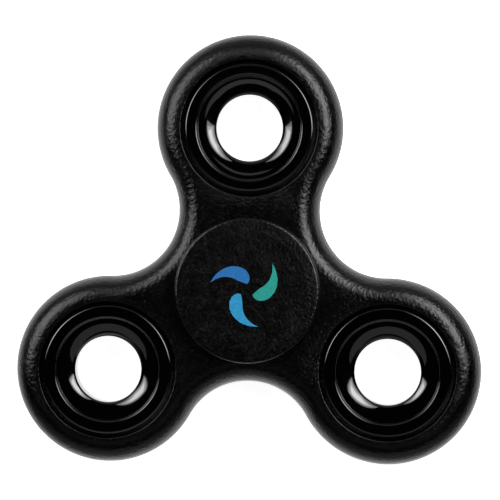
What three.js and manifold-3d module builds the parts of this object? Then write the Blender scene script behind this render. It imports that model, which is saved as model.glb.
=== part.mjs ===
// Three-lobe fidget spinner on a 608 deep-groove ball bearing.
// Millimetres, +Z up along the spin axis, origin at the centre of the bearing.
// The first lobe points along +Y. The front finger cap is on the +Z side.
import * as THREE from "three";
import { mergeVertices } from "three/addons/utils/BufferGeometryUtils.js";
import Module from "manifold-3d";

const wasm = await Module();
wasm.setup();

// ---------------------------------------------------------------- driving dimensions

// Moulded frame
const LOBE_COUNT = 3;
const LOBE_RADIUS = 15;
const LOBE_PITCH = 26; // spin axis to the centre of a lobe
const WAIST = 14.75; // spin axis to the outline, midway between two lobes
const FRAME_THICKNESS = 8;
const FRAME_EDGE = 3.5; // rounding of the outer edge
const BORE_EDGE = 0.2; // chamfer at each end of a bore

// 608 bearing: 8 x 22 x 7 mm, seven 5/32 in balls
const BEARING_BORE_RADIUS = 4;
const BEARING_OUTER_RADIUS = 11;
const BEARING_WIDTH = 7;
const BALL_COUNT = 7;
const BALL_RADIUS = 3.969 / 2;
const BALL_PITCH_RADIUS = 7.5;
const INNER_LAND = 6.05;
const OUTER_LAND = 8.8;
const SHIELD_SEAT_RADIUS = 9.6;
const CLIP_GROOVE_RADIUS = 9.8;
const RACE_CHAMFER = 0.3;
const GROOVE_RADIUS = 2.08;

// Weight rings, made to the same outside diameter as the bearing
const WEIGHT_HOLE = 5.4;
const WEIGHT_HALF_HEIGHT = 3.9;
const RIM_OUTER = 10.1; // outer edge of the flat rim
const SHOULDER_DROP = 1.4; // the shoulder slopes from the rim down to the outer wall
const RIM_INNER = 8.45;
const STEP_RADIUS = 8.38; // foot of the step down from the rim
const STEP_DEPTH = 0.95;
const DIP_START = 7.9;
const DIP_RADIUS = 5.8; // section radius of the gentle dip inside the step
const DIP_TILT = THREE.MathUtils.degToRad(13);
const LIP_TILT = THREE.MathUtils.degToRad(40); // tilt of the lip where it meets the hole

// Finger caps
const CAP_RADIUS = 11.65;
const CAP_TOP = 6.3;
const CAP_UNDERSIDE = 4.4;
const CAP_EDGE = 0.45;
const CAP_SHOULDER_RADIUS = 5.6; // bears on the inner race only
const CAP_SOCKET_RADIUS = 2.05;
const CAP_SOCKET_DEPTH = 2.9;
const CAP_PIN_RADIUS = 1.95;
const CAP_PIN_LENGTH = 2.6;
const STEM_END = 0.1; // the two stems stop this far from the middle plane

// Clearances
const PUSH_FIT = 0.05; // drawn gap of parts that are pressed together
const FACE_GAP = 0.02;
const OUTER_TRACK_GAP = 0.06;
const INNER_TRACK_GAP = 0.03;
const POCKET_GAP = 0.15;

// Sheet-metal parts
const CAGE_SHEET = 0.35;
const CAGE_INNER = 6.75;
const CAGE_OUTER = 8.25;
const RIVET_RADIUS = 0.35;
const RIVET_HEAD_RADIUS = 0.6;
const RIVET_HEAD_HEIGHT = 0.22;
const SHIELD_INNER = 6.3;
const SHIELD_OUTER = 9.5;
const SHIELD_BOTTOM = 2.72;
const SHIELD_SHEET = 0.25;
const SHIELD_STEP = 0.2; // the shield's middle stands this much further out
const CLIP_INNER = 9.4;
const CLIP_OUTER = 9.75;
const CLIP_BOTTOM = 3.02;
const CLIP_HEIGHT = 0.28;
const CLIP_OPENING = THREE.MathUtils.degToRad(34);

// Facets round a turn
const HUB_SEGMENTS = 48;
const WEIGHT_SEGMENTS = 36;
const BALL_SEGMENTS = 12;
const RIVET_SEGMENTS = 6;

// ---------------------------------------------------------------- materials

const ABS_BLACK = new THREE.MeshStandardMaterial({ color: 0x0d0d0d, roughness: 0.55, metalness: 0 });
const CAP_BLACK = new THREE.MeshStandardMaterial({ color: 0x111111, roughness: 0.6, metalness: 0 });
const BLACK_ENAMEL = new THREE.MeshStandardMaterial({ color: 0x050505, roughness: 0.08, metalness: 0.2 });
const BEARING_STEEL = new THREE.MeshStandardMaterial({ color: 0xb8b8b8, roughness: 0.2, metalness: 1 });
const SHEET_STEEL = new THREE.MeshStandardMaterial({ color: 0x9c9c98, roughness: 0.35, metalness: 1 });
const SPRING_STEEL = new THREE.MeshStandardMaterial({ color: 0x5a5a5e, roughness: 0.4, metalness: 1 });

// ---------------------------------------------------------------- helpers

const TURN = Math.PI * 2;

// Points of an arc, both ends included. Angles are in radians.
function arc(x, y, radius, from, to, steps) {
  return Array.from({ length: steps + 1 }, (_, i) => {
    const a = from + ((to - from) * i) / steps;
    return new THREE.Vector2(x + radius * Math.cos(a), y + radius * Math.sin(a));
  });
}

const at = (r, z) => new THREE.Vector2(r, z);

// The mirror image, below z = 0, of half a profile. It runs the other way.
const mirror = (half) => half.map((p) => at(p.x, -p.y)).reverse();

// A solid of revolution about Z. The profile is a list of (radius, z), and rises on its outer side.
// A ring's profile closes on itself, and a plug's starts and ends on the axis.
function turned(profile, segments) {
  const onAxis = profile[0].x === 0;
  const points = onAxis ? profile : [...profile, profile[0]];
  return new THREE.LatheGeometry(points, segments).rotateX(Math.PI / 2);
}

function toSolid(geometry) {
  const bare = new THREE.BufferGeometry();
  bare.setAttribute("position", geometry.getAttribute("position"));
  bare.setIndex(geometry.getIndex());
  const merged = mergeVertices(bare, 1e-4);
  return new wasm.Manifold(
    new wasm.Mesh({
      numProp: 3,
      vertProperties: merged.getAttribute("position").array,
      triVerts: new Uint32Array(merged.getIndex().array),
    }),
  );
}

function toGeometry(solid) {
  const mesh = solid.getMesh();
  const geometry = new THREE.BufferGeometry();
  geometry.setAttribute("position", new THREE.BufferAttribute(new Float32Array(mesh.vertProperties), 3));
  geometry.setIndex(new THREE.BufferAttribute(new Uint32Array(mesh.triVerts), 1));
  const flat = geometry.toNonIndexed();
  flat.computeVertexNormals();
  return flat;
}

function joined(solids) {
  return solids.reduce((all, next) => all.add(next));
}

function mesh(name, geometry, material) {
  const made = new THREE.Mesh(geometry, material);
  made.name = name;
  return made;
}

// Angle of the i-th of n items round the axis; the first is on +Y.
const spoke = (i, n) => Math.PI / 2 + (TURN * i) / n;

// ---------------------------------------------------------------- moulded frame

// Outline of lobes joined by concave waists that are tangent to them.
function frameOutline() {
  const waistRadius =
    (WAIST ** 2 + LOBE_PITCH ** 2 - LOBE_PITCH * WAIST - LOBE_RADIUS ** 2) /
    (LOBE_PITCH + 2 * LOBE_RADIUS - 2 * WAIST);
  const waistPitch = WAIST + waistRadius;
  const halfStep = Math.PI / LOBE_COUNT;
  const points = [];
  for (let i = 0; i < LOBE_COUNT; i++) {
    const lobe = spoke(i, LOBE_COUNT);
    const next = lobe + halfStep;
    const lobeX = LOBE_PITCH * Math.cos(lobe);
    const lobeY = LOBE_PITCH * Math.sin(lobe);
    const waistX = waistPitch * Math.cos(next);
    const waistY = waistPitch * Math.sin(next);
    // Half the lobe's arc: from its own spoke round to where it meets the waist.
    const toWaist = Math.atan2(waistY - lobeY, waistX - lobeX);
    const half = (toWaist - lobe + TURN) % TURN;
    // The lobe is faceted in step with its bore, with one odd facet next to each waist.
    const step = TURN / HUB_SEGMENTS;
    const whole = Math.floor(half / step - 0.5);
    points.push(...arc(lobeX, lobeY, LOBE_RADIUS, lobe - whole * step, lobe + whole * step, 2 * whole));
    const waistHalf = half - halfStep;
    const middle = next + Math.PI;
    points.push(...arc(waistX, waistY, waistRadius, middle + waistHalf, middle - waistHalf, 8));
  }
  return points;
}

// Cutter for a through bore with a chamfer at both faces. All four bores are alike.
function boreCutter() {
  const radius = BEARING_OUTER_RADIUS;
  const face = FRAME_THICKNESS / 2;
  const beyond = 1;
  const half = [
    at(radius, face - BORE_EDGE),
    at(radius + BORE_EDGE + beyond, face + beyond),
    at(0, face + beyond),
  ];
  return toSolid(turned([...mirror(half), ...half], HUB_SEGMENTS));
}

function frameGeometry() {
  const blank = new THREE.ExtrudeGeometry(new THREE.Shape(frameOutline()), {
    depth: FRAME_THICKNESS - 2 * FRAME_EDGE,
    steps: 1,
    bevelEnabled: true,
    bevelThickness: FRAME_EDGE,
    bevelSize: FRAME_EDGE,
    bevelOffset: -FRAME_EDGE,
    bevelSegments: 4,
  });
  blank.translate(0, 0, FRAME_EDGE - FRAME_THICKNESS / 2);
  const cutter = boreCutter();
  let body = toSolid(blank).subtract(cutter);
  for (let i = 0; i < LOBE_COUNT; i++) {
    const a = spoke(i, LOBE_COUNT);
    const centre = [LOBE_PITCH * Math.cos(a), LOBE_PITCH * Math.sin(a), 0];
    body = body.subtract(cutter.translate(centre));
  }
  return toGeometry(body);
}

// ---------------------------------------------------------------- weight rings

// A level rim with a step down to a surface that dips gently, then rolls over into the hole.
function weightGeometry() {
  const outer = BEARING_OUTER_RADIUS - PUSH_FIT;
  const top = WEIGHT_HALF_HEIGHT;
  const shelf = top - STEP_DEPTH;
  const up = Math.PI / 2;
  const dip = arc(DIP_START, shelf - DIP_RADIUS, DIP_RADIUS, up, up + DIP_TILT, 2);
  const turn = dip[dip.length - 1];
  const lipRadius = (turn.x - WEIGHT_HOLE) / (Math.sin(LIP_TILT) - Math.sin(DIP_TILT));
  const lipX = turn.x + lipRadius * Math.sin(DIP_TILT);
  const lipZ = turn.y - lipRadius * Math.cos(DIP_TILT);
  const lip = arc(lipX, lipZ, lipRadius, up + DIP_TILT, up + LIP_TILT, 4);
  const half = [
    at(outer, top - SHOULDER_DROP),
    at(RIM_OUTER, top),
    at(RIM_INNER, top),
    at(STEP_RADIUS, shelf),
    ...dip,
    ...lip.slice(1),
  ];
  return turned([...mirror(half), ...half], WEIGHT_SEGMENTS);
}

// ---------------------------------------------------------------- bearing

function outerRaceGeometry() {
  const outer = BEARING_OUTER_RADIUS - PUSH_FIT;
  const face = BEARING_WIDTH / 2;
  const seat = SHIELD_BOTTOM - FACE_GAP;
  const grooveBottom = CLIP_BOTTOM - FACE_GAP;
  const grooveTop = CLIP_BOTTOM + CLIP_HEIGHT + FACE_GAP;
  const trackBottom = BALL_PITCH_RADIUS + BALL_RADIUS + OUTER_TRACK_GAP;
  const trackCentre = trackBottom - GROOVE_RADIUS;
  const reach = Math.acos((OUTER_LAND - trackCentre) / GROOVE_RADIUS);
  const side = [
    at(outer, face - RACE_CHAMFER),
    at(outer - RACE_CHAMFER, face),
    at(SHIELD_SEAT_RADIUS, face),
    at(SHIELD_SEAT_RADIUS, grooveTop),
    at(CLIP_GROOVE_RADIUS, grooveTop),
    at(CLIP_GROOVE_RADIUS, grooveBottom),
    at(SHIELD_SEAT_RADIUS, grooveBottom),
    at(SHIELD_SEAT_RADIUS, seat),
    at(OUTER_LAND, seat),
  ];
  const track = arc(trackCentre, 0, GROOVE_RADIUS, reach, -reach, 6);
  return turned([...side, ...track, ...mirror(side)], HUB_SEGMENTS);
}

function innerRaceGeometry() {
  const face = BEARING_WIDTH / 2;
  const trackBottom = BALL_PITCH_RADIUS - BALL_RADIUS - INNER_TRACK_GAP;
  const trackCentre = trackBottom + GROOVE_RADIUS;
  const reach = Math.acos((trackCentre - INNER_LAND) / GROOVE_RADIUS);
  const track = arc(trackCentre, 0, GROOVE_RADIUS, Math.PI + reach, Math.PI - reach, 6);
  const side = [
    at(INNER_LAND, face - RACE_CHAMFER),
    at(INNER_LAND - RACE_CHAMFER, face),
    at(BEARING_BORE_RADIUS + RACE_CHAMFER, face),
    at(BEARING_BORE_RADIUS, face - RACE_CHAMFER),
  ];
  return turned([...side, ...mirror(side), ...track], HUB_SEGMENTS);
}

function ballCentre(i) {
  const a = spoke(i, BALL_COUNT);
  return [BALL_PITCH_RADIUS * Math.cos(a), BALL_PITCH_RADIUS * Math.sin(a), 0];
}

function rivetCentre(i) {
  const a = spoke(i + 0.5, BALL_COUNT);
  return [BALL_PITCH_RADIUS * Math.cos(a), BALL_PITCH_RADIUS * Math.sin(a), 0];
}

function sphere(radius) {
  return new THREE.SphereGeometry(radius, BALL_SEGMENTS, BALL_SEGMENTS / 2).rotateX(Math.PI / 2);
}

// One pressed half of the cage, above the middle plane: flat tabs between domed ball pockets.
function cageHalfGeometry() {
  const pocket = BALL_RADIUS + POCKET_GAP;
  const low = FACE_GAP;
  const high = pocket + CAGE_SHEET;
  const band = (top) =>
    toSolid(
      turned([at(CAGE_OUTER, low), at(CAGE_OUTER, top), at(CAGE_INNER, top), at(CAGE_INNER, low)], HUB_SEGMENTS),
    );
  const centres = Array.from({ length: BALL_COUNT }, (_, i) => ballCentre(i));
  const domes = joined(centres.map((c) => toSolid(sphere(pocket + CAGE_SHEET)).translate(c)));
  let half = band(low + CAGE_SHEET).add(domes.intersect(band(high + 1)));
  for (const c of centres) half = half.subtract(toSolid(sphere(pocket)).translate(c));
  const hole = RIVET_RADIUS + PUSH_FIT;
  const drill = toSolid(turned([at(0, -1), at(hole, -1), at(hole, 1), at(0, 1)], RIVET_SEGMENTS));
  for (let i = 0; i < BALL_COUNT; i++) half = half.subtract(drill.translate(rivetCentre(i)));
  return toGeometry(half);
}

function rivetGeometry() {
  const seat = CAGE_SHEET + 2 * FACE_GAP;
  const top = seat + RIVET_HEAD_HEIGHT;
  const half = [at(RIVET_RADIUS, seat), at(RIVET_HEAD_RADIUS, seat), at(RIVET_RADIUS, top), at(0, top)];
  return turned([...mirror(half), ...half], RIVET_SEGMENTS);
}

// Shield above the balls, with its middle pressed outwards.
function shieldGeometry() {
  const low = SHIELD_BOTTOM;
  const high = low + SHIELD_SHEET;
  const bendOuter = 9.1;
  const bendInner = 8.8;
  return turned(
    [
      at(SHIELD_OUTER, low),
      at(SHIELD_OUTER, high),
      at(bendOuter, high),
      at(bendInner, high + SHIELD_STEP),
      at(SHIELD_INNER, high + SHIELD_STEP),
      at(SHIELD_INNER, low + SHIELD_STEP),
      at(bendInner, low + SHIELD_STEP),
      at(bendOuter, low),
    ],
    HUB_SEGMENTS,
  );
}

// Open wire ring that holds a shield in the outer race.
function clipGeometry() {
  const from = CLIP_OPENING / 2;
  const to = TURN - CLIP_OPENING / 2;
  const outline = [...arc(0, 0, CLIP_OUTER, from, to, 24), ...arc(0, 0, CLIP_INNER, to, from, 24)];
  const geometry = new THREE.ExtrudeGeometry(new THREE.Shape(outline), { depth: CLIP_HEIGHT, bevelEnabled: false });
  return geometry.translate(0, 0, CLIP_BOTTOM);
}

// ---------------------------------------------------------------- finger caps

// Profile of a cap on the +Z side, from the middle of its stem out and over its rounded edge.
function capProfile(stem) {
  return [
    ...stem,
    at(CAP_SHOULDER_RADIUS, BEARING_WIDTH / 2 + FACE_GAP),
    at(CAP_SHOULDER_RADIUS, CAP_UNDERSIDE),
    at(CAP_RADIUS, CAP_UNDERSIDE),
    ...arc(CAP_RADIUS - CAP_EDGE, CAP_TOP - CAP_EDGE, CAP_EDGE, 0, Math.PI / 2, 2),
    at(0, CAP_TOP),
  ];
}

// The front cap's stem ends in a pin.
function frontCapGeometry() {
  const stemRadius = BEARING_BORE_RADIUS - PUSH_FIT;
  return turned(
    capProfile([
      at(0, -CAP_PIN_LENGTH),
      at(CAP_PIN_RADIUS - 0.3, -CAP_PIN_LENGTH),
      at(CAP_PIN_RADIUS, 0.3 - CAP_PIN_LENGTH),
      at(CAP_PIN_RADIUS, STEM_END),
      at(stemRadius, STEM_END),
      at(stemRadius, BEARING_WIDTH / 2 + FACE_GAP),
    ]),
    HUB_SEGMENTS,
  );
}

// The rear cap's stem holds the socket that takes the pin. It is made on the +Z side and turned over.
function rearCapGeometry() {
  const stemRadius = BEARING_BORE_RADIUS - PUSH_FIT;
  const cap = turned(
    capProfile([
      at(0, CAP_SOCKET_DEPTH),
      at(CAP_SOCKET_RADIUS, CAP_SOCKET_DEPTH),
      at(CAP_SOCKET_RADIUS, STEM_END),
      at(stemRadius, STEM_END),
      at(stemRadius, BEARING_WIDTH / 2 + FACE_GAP),
    ]),
    HUB_SEGMENTS,
  );
  return cap.rotateX(Math.PI);
}

// ---------------------------------------------------------------- assembly

const spinner = new THREE.Group();

const rotor = new THREE.Group();
spinner.add(rotor);
rotor.add(mesh("rotor_frame", frameGeometry(), ABS_BLACK));
for (let i = 0; i < LOBE_COUNT; i++) {
  const ring = mesh(`weight_ring_${i + 1}`, weightGeometry(), BLACK_ENAMEL);
  const a = spoke(i, LOBE_COUNT);
  ring.position.set(LOBE_PITCH * Math.cos(a), LOBE_PITCH * Math.sin(a), 0);
  rotor.add(ring);
}
rotor.add(mesh("bearing_outer_race", outerRaceGeometry(), BEARING_STEEL));
rotor.add(mesh("bearing_shield_front", shieldGeometry(), SHEET_STEEL));
rotor.add(mesh("bearing_shield_rear", shieldGeometry().rotateX(Math.PI), SHEET_STEEL));
rotor.add(mesh("shield_clip_front", clipGeometry(), SPRING_STEEL));
rotor.add(mesh("shield_clip_rear", clipGeometry().rotateX(Math.PI), SPRING_STEEL));

const cage = new THREE.Group();
spinner.add(cage);
cage.add(mesh("cage_half_front", cageHalfGeometry(), SHEET_STEEL));
// Turning over about the first ball's spoke keeps every pocket over its ball.
cage.add(mesh("cage_half_rear", cageHalfGeometry().rotateY(Math.PI), SHEET_STEEL));
for (let i = 0; i < BALL_COUNT; i++) {
  const rivet = mesh(`cage_rivet_${i + 1}`, rivetGeometry(), SHEET_STEEL);
  rivet.position.set(...rivetCentre(i));
  cage.add(rivet);
}
for (let i = 0; i < BALL_COUNT; i++) {
  const ball = mesh(`bearing_ball_${i + 1}`, sphere(BALL_RADIUS), BEARING_STEEL);
  ball.position.set(...ballCentre(i));
  spinner.add(ball);
}

const hub = new THREE.Group();
spinner.add(hub);
hub.add(mesh("bearing_inner_race", innerRaceGeometry(), BEARING_STEEL));
hub.add(mesh("finger_cap_front", frontCapGeometry(), CAP_BLACK));
hub.add(mesh("finger_cap_rear", rearCapGeometry(), CAP_BLACK));

export default spinner;
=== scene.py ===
"""Looks of a three-lobed fidget spinner: smooth moulded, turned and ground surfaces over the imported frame."""

import bpy
import bmesh
import math
from mathutils import Matrix, Vector
from mathutils.geometry import delaunay_2d_cdt


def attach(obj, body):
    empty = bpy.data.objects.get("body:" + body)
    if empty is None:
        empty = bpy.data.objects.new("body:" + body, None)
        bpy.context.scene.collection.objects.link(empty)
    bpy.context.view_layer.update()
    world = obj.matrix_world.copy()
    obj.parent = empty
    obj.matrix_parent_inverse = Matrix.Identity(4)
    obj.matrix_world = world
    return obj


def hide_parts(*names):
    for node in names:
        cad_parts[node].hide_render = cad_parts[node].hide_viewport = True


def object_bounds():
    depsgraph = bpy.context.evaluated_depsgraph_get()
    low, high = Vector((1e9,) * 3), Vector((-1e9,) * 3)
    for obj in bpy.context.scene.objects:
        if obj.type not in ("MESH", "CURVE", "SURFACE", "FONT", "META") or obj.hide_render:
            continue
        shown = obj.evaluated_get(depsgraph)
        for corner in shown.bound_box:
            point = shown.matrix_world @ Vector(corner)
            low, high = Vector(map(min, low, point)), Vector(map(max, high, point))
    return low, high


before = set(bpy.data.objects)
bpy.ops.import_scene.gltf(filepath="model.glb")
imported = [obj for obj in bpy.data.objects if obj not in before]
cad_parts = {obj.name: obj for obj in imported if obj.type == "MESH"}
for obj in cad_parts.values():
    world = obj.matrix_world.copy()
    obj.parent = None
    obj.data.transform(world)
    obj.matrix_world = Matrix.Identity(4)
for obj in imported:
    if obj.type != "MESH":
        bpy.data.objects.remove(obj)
cad_low, cad_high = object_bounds()
MM = 0.001
TURN = 2 * math.pi
# Sizes in millimetres.
LOBES = 3
LOBE_PITCH = 26.0  # spin axis to the centre of a lobe
LOBE_RADIUS = 15.0
WAIST = 14.75  # spin axis to the outline, midway between two lobes
HALF_THICK = 4.0
EDGE_IN = 3.5  # how far the rounded edge reaches in from the outline
WITNESS = 0.05  # depth of the mould's parting line round the edge
BORE = 11.0
BORE_ROUND = 0.12
RACE_SEAT = 10.99
RING_SEAT = 10.995
RING_TOP = 3.88
SHELF = 2.95
LIP_START = 8.05
LIP_BEND, LIP_TILT = 4.65, 31.5  # radius of the lip's curve, and its tilt in degrees at the hole
RING_HOLE = 5.34
BALLS = 7
BALL_RADIUS = 3.969 / 2
BALL_PITCH = 7.5
TRACK_RADIUS = 2.08
OUTER_LAND, INNER_LAND = 8.8, 6.05
CAP_TOP = 6.29
PRINT_TOP = 6.295


def spoke(i, n=LOBES):
    return TURN / 4 + TURN * i / n


# ---------------------------------------------------------------- materials


def new_material(name):
    mat = bpy.data.materials.new(name)
    mat.use_nodes = True
    tree = mat.node_tree
    return mat, tree, tree.nodes["Principled BSDF"]


def node(tree, kind, inputs=None, **settings):
    made = tree.nodes.new(kind)
    for key, value in settings.items():
        setattr(made, key, value)
    for key, value in (inputs or {}).items():
        if isinstance(value, bpy.types.NodeSocket):
            tree.links.new(value, made.inputs[key])
        else:
            made.inputs[key].default_value = value
    return made


def coords(tree):
    return node(tree, "ShaderNodeTexCoord").outputs["Object"]


def noise(tree, vector, size_mm, detail=2.0, roughness=0.5):
    """Noise whose features are about size_mm across."""
    settings = {"Vector": vector, "Scale": 1000.0 / size_mm, "Detail": detail, "Roughness": roughness}
    return node(tree, "ShaderNodeTexNoise", settings).outputs["Fac"]


def ramp(tree, value, low, high, out_low, out_high):
    made = node(tree, "ShaderNodeMapRange", {"Value": value, "From Min": low, "From Max": high})
    made.inputs["To Min"].default_value = out_low
    made.inputs["To Max"].default_value = out_high
    return made.outputs["Result"]


def two_tone(tree, value, dark, light):
    made = node(tree, "ShaderNodeMix", {"Factor": value}, data_type="RGBA")
    made.inputs["A"].default_value = (*dark, 1)
    made.inputs["B"].default_value = (*light, 1)
    return made.outputs["Result"]


def maths(tree, operation, a, b):
    return node(tree, "ShaderNodeMath", {0: a, 1: b}, operation=operation).outputs[0]


def bumped(tree, shader, height, depth_um):
    """Lets height, from 0 to 1, lift the surface by up to depth_um in the shading."""
    bump = node(tree, "ShaderNodeBump", {"Height": height, "Strength": 1.0, "Distance": depth_um * 1e-6})
    tree.links.new(bump.outputs["Normal"], shader.inputs["Normal"])


def grained_plastic(name, dark, light, rough, grain_mm, depth_um):
    """Moulded plastic with a fine spark-eroded grain: light specks between pits, a cloudy sheen in the
    roughness, scuffs. The light specks in the colour are partly dust and partly painted glints of the grain,
    made cloudy too.
    """
    mat, tree, shader = new_material(name)
    where = coords(tree)
    grain = noise(tree, where, grain_mm, 3.0, 0.6)
    pits = node(tree, "ShaderNodeTexVoronoi", {"Vector": where, "Scale": 1000.0 / (1.5 * grain_mm)})
    cloud = noise(tree, where, 4.0, 4.0, 0.6)
    scuff = noise(tree, where, 1.1, 4.0, 0.65)
    dust_and_glint_noise = noise(tree, where, 0.9 * grain_mm, 1.0, 0.5)
    # The light specks of the colour: partly dust, partly painted glints of the grain, dimmed in clouds.
    dust_and_glint_spots = maths(tree, "ADD", dust_and_glint_noise, maths(tree, "MULTIPLY", scuff, 0.3))
    speck = ramp(tree, dust_and_glint_spots, 0.66, 0.92, 0.0, 1.0)
    dust_and_glint_tone = maths(tree, "MULTIPLY", speck, ramp(tree, cloud, 0.36, 0.66, 0.35, 1.0))
    tree.links.new(two_tone(tree, dust_and_glint_tone, dark, light), shader.inputs["Base Color"])
    mottled = ramp(tree, maths(tree, "ADD", cloud, scuff), 0.8, 1.2, rough - 0.04, rough + 0.04)
    tree.links.new(mottled, shader.inputs["Roughness"])
    height = maths(tree, "ADD", grain, maths(tree, "MULTIPLY", pits.outputs["Distance"], 0.6))
    bumped(tree, shader, height, depth_um)
    shader.inputs["IOR"].default_value = 1.5
    return mat


def enamel(name):
    """Thick gloss black enamel on steel, with a faint orange peel and fine handling marks."""
    mat, tree, shader = new_material(name)
    where = coords(tree)
    peel = noise(tree, where, 1.4, 1.0)
    haze = noise(tree, where, 4.0, 4.0, 0.6)
    marks = noise(tree, where, 0.18, 2.0)
    black = two_tone(tree, haze, (0.0002, 0.0002, 0.0002), (0.0005, 0.0005, 0.0005))
    tree.links.new(black, shader.inputs["Base Color"])
    tree.links.new(ramp(tree, haze, 0.3, 0.7, 0.05, 0.10), shader.inputs["Roughness"])
    height = maths(tree, "ADD", peel, maths(tree, "MULTIPLY", marks, 0.04))
    bumped(tree, shader, height, 6)
    shader.inputs["IOR"].default_value = 1.6
    shader.inputs["Coat Weight"].default_value = 1.0
    shader.inputs["Coat Roughness"].default_value = 0.03
    return mat


def turned_steel(name, colour, rough, lay_mm, depth_um):
    """Steel with the fine circular lay of grinding or pressing about the spin axis."""
    mat, tree, shader = new_material(name)
    where = coords(tree)
    split = node(tree, "ShaderNodeSeparateXYZ", {0: where})
    across, along = (maths(tree, "POWER", split.outputs[axis], 2.0) for axis in (0, 1))
    radius = maths(tree, "SQRT", maths(tree, "ADD", across, along), 0.0)
    rings = node(tree, "ShaderNodeCombineXYZ", {0: radius, 1: split.outputs[2]})
    lay = noise(tree, rings.outputs[0], lay_mm, 3.0, 0.7)
    film = noise(tree, where, 3.0, 3.0)
    shade = tuple(c * 0.8 for c in colour)
    tree.links.new(two_tone(tree, film, shade, colour), shader.inputs["Base Color"])
    tree.links.new(ramp(tree, film, 0.3, 0.7, rough - 0.04, rough + 0.06), shader.inputs["Roughness"])
    bumped(tree, shader, lay, depth_um)
    shader.inputs["Metallic"].default_value = 1.0
    return mat


def ink(name, colour):
    """Pad-printed ink: a thin satin film that lets a little of the grain through."""
    mat, tree, shader = new_material(name)
    where = coords(tree)
    speck = noise(tree, where, 0.22, 3.0, 0.6)
    thin = tuple(c * 0.72 for c in colour)
    film = two_tone(tree, ramp(tree, speck, 0.35, 0.6, 0.0, 1.0), thin, colour)
    tree.links.new(film, shader.inputs["Base Color"])
    tree.links.new(ramp(tree, speck, 0.3, 0.7, 0.42, 0.58), shader.inputs["Roughness"])
    bumped(tree, shader, speck, 8)
    return mat


# The light colour of each grained plastic is that of its specks, partly dust and partly painted glints; the
# cap's is set lighter than the frame's.
FRAME_ABS = grained_plastic("frame_abs", (0.0002, 0.0002, 0.0002), (0.0030, 0.0030, 0.0030), 0.21, 0.37, 62)
CAP_ABS = grained_plastic("cap_abs", (0.0003, 0.0003, 0.0003), (0.0160, 0.0160, 0.0157), 0.25, 0.36, 54)
ENAMEL = enamel("ring_enamel")
RACE_STEEL = turned_steel("race_steel", (0.56, 0.56, 0.55), 0.18, 0.12, 1.5)
BALL_STEEL = turned_steel("ball_steel", (0.66, 0.66, 0.66), 0.07, 2.0, 0.3)
SHEET_STEEL = turned_steel("sheet_steel", (0.45, 0.45, 0.44), 0.30, 0.20, 3.0)
SPRING_STEEL = turned_steel("spring_steel", (0.10, 0.10, 0.12), 0.35, 0.15, 2.0)

# ---------------------------------------------------------------- geometry


def finish_piece(name, bm, material, body, nodes=()):
    """Makes an object of the mesh, smooth but for its true corners, and puts it on its body."""
    bmesh.ops.remove_doubles(bm, verts=bm.verts, dist=1e-7)
    bmesh.ops.recalc_face_normals(bm, faces=bm.faces)
    for face in bm.faces:
        face.smooth = True
    for edge in bm.edges:
        edge.smooth = not (len(edge.link_faces) == 2 and edge.calc_face_angle() > math.radians(32))
    data = bpy.data.meshes.new(name)
    bm.to_mesh(data)
    bm.free()
    data.materials.append(material)
    made = bpy.data.objects.new(name, data)
    bpy.context.scene.collection.objects.link(made)
    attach(made, body)
    if nodes:
        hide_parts(*nodes)
    return made


def section(corners, steps=6, closed=True):
    """A profile in millimetres. Each corner is (radius, z, rounding); a rounded corner becomes an arc."""
    out = []
    n = len(corners)
    for i, (r, z, rounding) in enumerate(corners):
        here = Vector((r, z))
        if rounding == 0 or (not closed and i in (0, n - 1)):
            out.append(here)
            continue
        back = (Vector(corners[i - 1][:2]) - here).normalized()
        ahead = (Vector(corners[(i + 1) % n][:2]) - here).normalized()
        half = back.angle(ahead) / 2
        run = rounding / math.tan(half)
        centre = here + (back + ahead).normalized() * (rounding / math.sin(half))
        start, end = here + back * run - centre, here + ahead * run - centre
        sweep = start.angle_signed(end)
        for k in range(steps + 1):
            out.append(centre + Matrix.Rotation(-sweep * k / steps, 2) @ start)
    return out


def circle_verts(bm, x, y, z, radius, segments):
    """New vertices round a level circle, sizes in millimetres."""
    out = []
    for i in range(segments):
        a = TURN * i / segments
        out.append(bm.verts.new(((x + radius * math.cos(a)) * MM, (y + radius * math.sin(a)) * MM, z * MM)))
    return out


def revolve(profile, segments, closed=True, centre=(0.0, 0.0), flip=False):
    """A mesh of the profile turned about the Z axis through centre."""
    bm = bmesh.new()
    rings = []
    for p in profile:
        z = -p.y if flip else p.y
        if p.x < 1e-6:
            rings.append([bm.verts.new((centre[0] * MM, centre[1] * MM, z * MM))])
        else:
            rings.append(circle_verts(bm, *centre, z, p.x, segments))
    count = len(rings)
    for j in range(count if closed else count - 1):
        a, b = rings[j], rings[(j + 1) % count]
        for i in range(segments):
            k = (i + 1) % segments
            corners = [a[i % len(a)], a[k % len(a)], b[k % len(b)], b[i % len(b)]]
            unique = [v for n, v in enumerate(corners) if v not in corners[:n]]
            if len(unique) > 2:
                bm.faces.new(unique)
    return bm


def mirrored(corners):
    """The top half of a closed section, outside to inside, with its mirror image below."""
    return corners + [(r, -z, f) for r, z, f in reversed(corners)]


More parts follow.
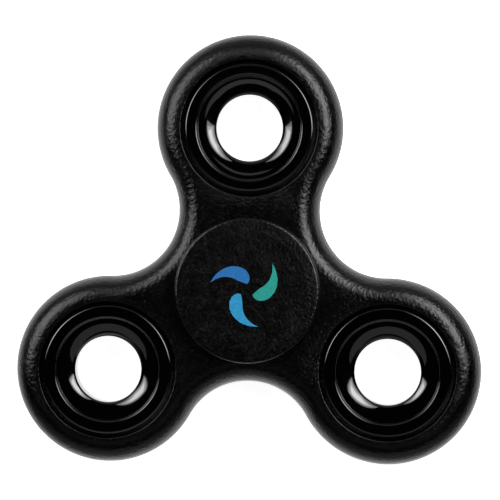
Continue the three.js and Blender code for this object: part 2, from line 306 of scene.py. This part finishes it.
def outline(step=0.55):
    """Points (mm) and inward normals of the frame's outline, lobes and waists tangent to each other."""
    waist_r = (WAIST**2 + LOBE_PITCH**2 - LOBE_PITCH * WAIST - LOBE_RADIUS**2) / (
        LOBE_PITCH + 2 * LOBE_RADIUS - 2 * WAIST
    )
    waist_d = WAIST + waist_r
    out = []
    for i in range(LOBES):
        a = spoke(i)
        c = Vector((math.cos(a), math.sin(a))) * LOBE_PITCH
        b = a + TURN / LOBES / 2
        w = Vector((math.cos(b), math.sin(b))) * waist_d
        reach = (math.atan2(w.y - c.y, w.x - c.x) - a) % TURN
        n = round(2 * reach * LOBE_RADIUS / step)
        for k in range(n + 1):
            t = a - reach + 2 * reach * k / n
            d = Vector((math.cos(t), math.sin(t)))
            out.append((c + d * LOBE_RADIUS, -d))
        half = reach - TURN / LOBES / 2
        n = round(2 * half * waist_r / step)
        for k in range(1, n):
            t = b + math.pi + half - 2 * half * k / n
            d = Vector((math.cos(t), math.sin(t)))
            out.append((w + d * waist_r, d))
    return out


def frame_mesh():
    """The moulded frame: a full rounded edge swept round the outline, flat faces, and four rounded bores."""
    bm = bmesh.new()
    points = outline()
    steps = 14
    layers = []
    for k in range(-steps, steps + 1):
        f = TURN / 4 * k / steps
        inset = WITNESS + (EDGE_IN - WITNESS) * (1 - math.cos(f))
        z = HALF_THICK * math.sin(f)
        if k == 0:
            layers += [(WITNESS, -0.09), (0.0, 0.0), (WITNESS, 0.09)]
        else:
            layers.append((inset, z))
    loops = []
    for inset, z in layers:
        placed = [p + n * inset for p, n in points]
        loops.append([bm.verts.new((p.x * MM, p.y * MM, z * MM)) for p in placed])
    for a, b in zip(loops, loops[1:]):
        for i in range(len(a)):
            j = (i + 1) % len(a)
            bm.faces.new((a[i], a[j], b[j], b[i]))
    centres = [Vector((0, 0))]
    centres += [Vector((math.cos(spoke(i)), math.sin(spoke(i)))) * LOBE_PITCH for i in range(LOBES)]
    top_rings, bottom_rings = [], []
    segments = 120
    for c in centres:
        wall = []
        for k in range(-5, 6):
            if k == 0:
                continue
            f = TURN / 4 * (abs(k) - 1) / 4
            r = BORE + BORE_ROUND * (1 - math.cos(f))
            z = math.copysign(HALF_THICK - BORE_ROUND + BORE_ROUND * math.sin(f), k)
            wall.append(circle_verts(bm, c.x, c.y, z, r, segments))
        for a, b in zip(wall, wall[1:]):
            for i in range(segments):
                j = (i + 1) % segments
                bm.faces.new((a[j], a[i], b[i], b[j]))
        bottom_rings.append(wall[0])
        top_rings.append(wall[-1])
    for outer, holes in ((loops[-1], top_rings), (loops[0], bottom_rings)):
        verts = list(outer)
        faces = [list(range(len(outer)))]
        for ring in holes:
            faces.append(list(range(len(verts), len(verts) + segments))[::-1])
            verts += ring
        owner = [-1] * len(outer) + [k for k in range(len(holes)) for _ in range(segments)]
        flat = [Vector((v.co.x, v.co.y)) / MM for v in verts]
        _, _, tris, _, _, _ = delaunay_2d_cdt(flat, [], faces, 1, 1e-7)
        for tri in tris:
            # A triangle with all its corners on one bore lies in the bore's opening.
            if owner[tri[0]] < 0 or len({owner[i] for i in tri}) > 1:
                bm.faces.new([verts[i] for i in tri])
    return bm


# ---------------------------------------------------------------- rotor

finish_piece("frame_moulding", frame_mesh(), FRAME_ABS, "rotor", ["rotor_frame"])

# Inside the step the surface bends down to the hole in one even curve.
lip = []
for k in range(17):
    t = math.radians(LIP_TILT * k / 16)
    lip.append((LIP_START - LIP_BEND * math.sin(t), SHELF - LIP_BEND * (1 - math.cos(t)), 0))
# A small flat breaks the edge of the hole.
edge_r, edge_z, _ = lip[-1]
lip[-1] = (edge_r, edge_z, 0.04)
lip.append((RING_HOLE, edge_z - (edge_r - RING_HOLE) * 0.82, 0.04))
ring_half = [(RING_SEAT, 3.15, 0.1), (10.12, RING_TOP, 0.42), (8.32, RING_TOP, 0.36), (8.24, SHELF, 0.06)] + lip
for i in range(LOBES):
    at = (LOBE_PITCH * math.cos(spoke(i)), LOBE_PITCH * math.sin(spoke(i)))
    shape = revolve(section(mirrored(ring_half)), 144, centre=at)
    finish_piece(f"weight_{i + 1}", shape, ENAMEL, "rotor", [f"weight_ring_{i + 1}"])

# ---------------------------------------------------------------- bearing


def groove(centre, radius, edge, outward):
    """Section points of a ball track below the middle plane and up to above it."""
    reach = math.acos((edge - centre) / radius * outward)
    points = []
    for k in range(17):
        t = reach - 2 * reach * k / 16
        points.append((centre + outward * radius * math.cos(t), radius * math.sin(t), 0))
    return points


outer_side = [
    (RACE_SEAT, 3.5, 0.3),
    (9.6, 3.5, 0.12),
    (9.6, 3.32, 0.03),
    (9.8, 3.32, 0.06),
    (9.8, 3.0, 0.06),
    (9.6, 3.0, 0.03),
    (9.6, 2.7, 0.04),
    (OUTER_LAND, 2.7, 0.12),
]
outer = outer_side + groove(7.465, TRACK_RADIUS, OUTER_LAND, 1)
outer += [(r, -z, f) for r, z, f in reversed(outer_side)]
outer_race = revolve(section(outer), 144)
finish_piece("race_outer", outer_race, RACE_STEEL, "rotor", ["bearing_outer_race"])

inner_side = [(INNER_LAND, 3.5, 0.25), (4.0, 3.5, 0.25)]
inner = inner_side + [(r, -z, f) for r, z, f in reversed(inner_side)]
inner += groove(7.565, TRACK_RADIUS, INNER_LAND, -1)[::-1]
inner_race = revolve(section(inner), 128)
finish_piece("race_inner", inner_race, RACE_STEEL, "hub", ["bearing_inner_race"])

shield = [
    (9.5, 2.72, 0.06),
    (9.5, 2.97, 0.06),
    (9.1, 2.97, 0.12),
    (8.8, 3.17, 0.12),
    (6.3, 3.17, 0.06),
    (6.3, 2.92, 0.06),
    (8.85, 2.92, 0.1),
    (9.05, 2.72, 0.1),
]
for side, flip in (("front", False), ("rear", True)):
    shape = revolve(section(shield, 3), 128, flip=flip)
    finish_piece(f"shield_{side}", shape, SHEET_STEEL, "rotor", [f"bearing_shield_{side}"])


def clip_mesh(flip):
    """Open ring of round wire with its ends cut square."""
    bm = bmesh.new()
    sides, steps, r, wire, z = 10, 96, 9.575, 0.14, 3.16
    rings = []
    for k in range(steps + 1):
        a = math.radians(17 + 326 * k / steps)
        ring = []
        for i in range(sides):
            b = TURN * i / sides
            d = r + wire * 1.2 * math.cos(b)
            height = (z + wire * math.sin(b)) * (-1 if flip else 1)
            ring.append(bm.verts.new((d * math.cos(a) * MM, d * math.sin(a) * MM, height * MM)))
        rings.append(ring)
    for a, b in zip(rings, rings[1:]):
        for i in range(sides):
            j = (i + 1) % sides
            bm.faces.new((a[i], a[j], b[j], b[i]))
    bm.faces.new(rings[0])
    bm.faces.new(rings[-1][::-1])
    return bm


for side, flip in (("front", False), ("rear", True)):
    shape = clip_mesh(flip)
    finish_piece(f"clip_{side}", shape, SPRING_STEEL, "rotor", [f"shield_clip_{side}"])

for i in range(BALLS):
    a = spoke(i, BALLS)
    bm = bmesh.new()
    bmesh.ops.create_icosphere(bm, subdivisions=4, radius=BALL_RADIUS * MM)
    bmesh.ops.translate(bm, verts=bm.verts, vec=Vector((math.cos(a), math.sin(a), 0)) * BALL_PITCH * MM)
    body = f"ball_{i + 1}"
    finish_piece(f"{body}_ground", bm, BALL_STEEL, body, [f"bearing_{body}"])

for name in ["cage_half_front", "cage_half_rear"] + [f"cage_rivet_{i + 1}" for i in range(BALLS)]:
    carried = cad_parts[name]
    carried.data.materials.clear()
    carried.data.materials.append(SHEET_STEEL)

# ---------------------------------------------------------------- finger caps

cap_rim = [
    (5.6, 3.52, 0.05),
    (5.6, 4.4, 0.15),
    (11.65, 4.4, 0.12),
    (11.65, CAP_TOP - 0.09, 0.5),
    (11.0, CAP_TOP - 0.07, 1.0),
    (9.6, CAP_TOP, 4.0),
    (0, CAP_TOP, 0),
]
front = [(0, -2.6, 0), (1.95, -2.6, 0.3), (1.95, 0.1, 0.05), (3.95, 0.1, 0.2), (3.95, 3.52, 0.05)] + cap_rim
rear = [(0, 2.9, 0), (2.05, 2.9, 0.1), (2.05, 0.1, 0.1), (3.95, 0.1, 0.2), (3.95, 3.52, 0.05)] + cap_rim
for side, corners, flip in (("front", front, False), ("rear", rear, True)):
    shape = revolve(section(corners, 6, closed=False), 144, closed=False, flip=flip)
    finish_piece(f"cap_{side}", shape, CAP_ABS, "hub", [f"finger_cap_{side}"])


def print_shape(points, z=PRINT_TOP, thick=0.02):
    """A thin printed area from its outline in millimetres."""
    bm = bmesh.new()
    low = [bm.verts.new((x * MM, y * MM, (z - thick) * MM)) for x, y in points]
    high = [bm.verts.new((x * MM, y * MM, z * MM)) for x, y in points]
    bm.faces.new(high)
    bm.faces.new(low[::-1])
    for i in range(len(points)):
        j = (i + 1) % len(points)
        bm.faces.new((low[i], low[j], high[j], high[i]))
    return bm


def blade(start, inner=1.1, outer=6.0, sweep=math.radians(78), width=1.05):
    """One leaf-shaped blade of a pinwheel, curving back to a fine tip."""
    steps = 28
    spine = []
    for k in range(steps + 1):
        t = k / steps
        a = start + sweep * t**1.2
        spine.append(Vector((math.cos(a), math.sin(a))) * (inner + (outer - inner) * t))
    lead, trail = [], []
    for k, p in enumerate(spine):
        along = (spine[min(k + 1, steps)] - spine[max(k - 1, 0)]).normalized()
        side = Vector((-along.y, along.x)) * width * math.sin(math.pi * (k / steps) ** 0.7)
        lead.append(p + side)
        trail.append(p - side)
    return [tuple(p) for p in lead + trail[-2:0:-1]]


BLUES = [
    ink("ink_blue", (0.02, 0.22, 0.62)),
    ink("ink_sky", (0.03, 0.42, 0.80)),
    ink("ink_teal", (0.02, 0.45, 0.38)),
]
for i in range(LOBES):
    shape = print_shape(blade(spoke(i)))
    finish_piece(f"print_blade_{i + 1}", shape, BLUES[i], "hub")

# ---------------------------------------------------------------- floor, light and camera


def stage_mesh(name, bm, mat):
    data = bpy.data.meshes.new(name)
    bm.to_mesh(data)
    bm.free()
    data.materials.append(mat)
    made = bpy.data.objects.new(name, data)
    bpy.context.scene.collection.objects.link(made)
    return made


def glow(name):
    """A surface that only gives light, with the socket for how much."""
    mat, tree, shader = new_material(name)
    shader.inputs["Base Color"].default_value = (0, 0, 0, 1)
    shader.inputs["Specular IOR Level"].default_value = 0.0
    shader.inputs["Emission Color"].default_value = (1, 1, 1, 1)
    return mat, tree, shader.inputs["Emission Strength"]


paper, _, paper_shader = new_material("white_paper")
paper_shader.inputs["Base Color"].default_value = (0.9, 0.9, 0.9, 1)
paper_shader.inputs["Roughness"].default_value = 1.0
paper_shader.inputs["Specular IOR Level"].default_value = 0.0
paper_shader.inputs["Emission Color"].default_value = (1, 1, 1, 1)
paper_shader.inputs["Emission Strength"].default_value = 0.95

floor = bmesh.new()
bmesh.ops.create_grid(floor, x_segments=2, y_segments=2, size=4.0)
bmesh.ops.translate(floor, verts=floor.verts, vec=(0, 0, cad_low.z))
stage_mesh("floor", floor, paper).visible_glossy = False
# What the gloss sees of the paper: brightest round the part, and falling off with distance.
bounce, bounce_tree, bounce_strength = glow("bounce")
far = node(bounce_tree, "ShaderNodeVectorMath", {0: coords(bounce_tree)}, operation="LENGTH").outputs["Value"]
bounce_tree.links.new(ramp(bounce_tree, far, 0.046, 0.085, 1.0, 0.15), bounce_strength)
card = bmesh.new()
bmesh.ops.create_grid(card, x_segments=2, y_segments=2, size=2.0)
bmesh.ops.translate(card, verts=card.verts, vec=(0, 0, cad_low.z - MM))
under = stage_mesh("bounce_card", card, bounce)
under.visible_camera = False
under.visible_diffuse = False
# The dim white walls before and behind the part, seen only in its gloss.
tent, tent_tree, tent_strength = glow("tent")
place = node(tent_tree, "ShaderNodeSeparateXYZ", {0: coords(tent_tree)})
facing = ramp(tent_tree, maths(tent_tree, "ABSOLUTE", place.outputs[1], 0.0), 0.6, 1.4, 0.0, 1.0)
fading = ramp(tent_tree, place.outputs[2], -0.45, 0.45, 0.42, 0.08)
tent_tree.links.new(maths(tent_tree, "MULTIPLY", facing, fading), tent_strength)
cloth = bmesh.new()
bmesh.ops.create_cone(cloth, segments=64, radius1=1.5, radius2=1.5, depth=1.0, cap_ends=False)
walls = stage_mesh("tent", cloth, tent)
walls.location.z = 0.5
walls.visible_camera = False
walls.visible_diffuse = False
walls.visible_shadow = False
wall = bmesh.new()
bmesh.ops.create_cone(wall, segments=48, radius1=3.9, radius2=3.9, depth=5.0, cap_ends=False)
backdrop = stage_mesh("backdrop", wall, paper)
backdrop.visible_glossy = False
backdrop.visible_diffuse = False
backdrop.visible_shadow = False


def panel(name, x_range, y_range, height, radiance, pieces, light_them=True):
    """A level soft panel shining down, sizes in metres, on just these pieces or on all the others."""
    data = bpy.data.lights.new(name, "AREA")
    data.shape = "RECTANGLE"
    data.size, data.size_y = x_range[1] - x_range[0], y_range[1] - y_range[0]
    data.energy = radiance * math.pi * data.size * data.size_y
    made = bpy.data.objects.new(name, data)
    made.location = (sum(x_range) / 2, sum(y_range) / 2, height)
    made.visible_camera = False
    bpy.context.scene.collection.objects.link(made)
    chosen = bpy.data.collections.new(name)
    for piece in pieces:
        chosen.objects.link(bpy.data.objects[piece])
    for entry in chosen.collection_objects:
        entry.light_linking.link_state = "INCLUDE" if light_them else "EXCLUDE"
    made.light_linking.receiver_collection = chosen


RINGS = [f"weight_{i + 1}" for i in range(LOBES)]
panel("softbox_left", (-0.52, -0.122), (0.01, 0.27), 0.2, 3.5, RINGS, False)
panel("softbox_right", (0.09, 0.26), (0.005, 0.26), 0.2, 6.2, RINGS, False)
panel("softbox_back", (-0.13, 0.09), (0.08, 0.28), 0.2, 0.58, ["frame_moulding"])
panel("softbox_front", (-0.12, 0.12), (-0.14, -0.065), 0.2, 0.13, ["frame_moulding"])
panel("softbox_cap", (0.025, 0.10), (-0.01, 0.07), 0.2, 0.36, ["cap_front"])
# The gloss of the rings shows how each softbox is brightest in its middle.
for part, x_low, x_high, y_low, y_high, up, left, right in (
    ("edge", 0.10, 0.32, 0.010, 0.24, 0.20, 1.7, 1.9),
    ("middle", 0.118, 0.27, 0.022, 0.19, 0.204, 1.8, 2.2),
    ("core", 0.135, 0.22, 0.038, 0.15, 0.208, 2.9, 3.4),
):
    panel(f"gloss_left_{part}", (-x_high - 0.04, -x_low - 0.02), (y_low, y_high), up, left, RINGS)
    panel(f"gloss_right_{part}", (x_low - 0.01, x_high - 0.01), (y_low, y_high), up, right, RINGS)
# Dim cards, seen only in the rings too.
panel("card_near", (-0.18, 0.18), (-0.20, -0.015), 0.6, 0.28, RINGS[:1])
panel("card_far", (-0.10, 0.10), (0.135, 0.23), 0.6, 0.30, RINGS[:1])
panel("card_low", (-0.35, 0.35), (-0.36, -0.11), 0.3, 0.20, RINGS[1:])
panel("card_flat", (-0.15, 0.45), (-0.45, -0.14), 0.08, 0.32, RINGS[1:2])

world = bpy.data.worlds.new("studio")
world.use_nodes = True
world.node_tree.nodes["Background"].inputs["Color"].default_value = (0.004, 0.004, 0.004, 1)
bpy.context.scene.world = world

# A long lens, almost square above the part: distance and width seen in millimetres.
CAMERA_AWAY, SEEN_WIDTH = 550, 80.66
LEAN_RIGHT, LEAN_BACK, ROLL = math.radians(3.2), math.radians(1.5), math.radians(0.46)
camera = bpy.data.objects.new("camera", bpy.data.cameras.new("camera"))
camera.data.sensor_width = 36.0
camera.data.lens = camera.data.sensor_width * CAMERA_AWAY / SEEN_WIDTH
camera.data.clip_start = 0.01
target = Vector((0.11, 6.36, 0)) * MM
away = Vector((math.tan(LEAN_RIGHT), math.tan(LEAN_BACK), 1)).normalized()
camera.location = target + away * CAMERA_AWAY * MM
across = Vector((0, 1, 0)).cross(away).normalized()
look = Matrix((across, away.cross(across), away)).transposed()
camera.rotation_euler = (look @ Matrix.Rotation(ROLL, 3, "Z")).to_euler()
bpy.context.scene.collection.objects.link(camera)
bpy.context.scene.camera = camera
bpy.context.scene.view_settings.view_transform = "Standard"
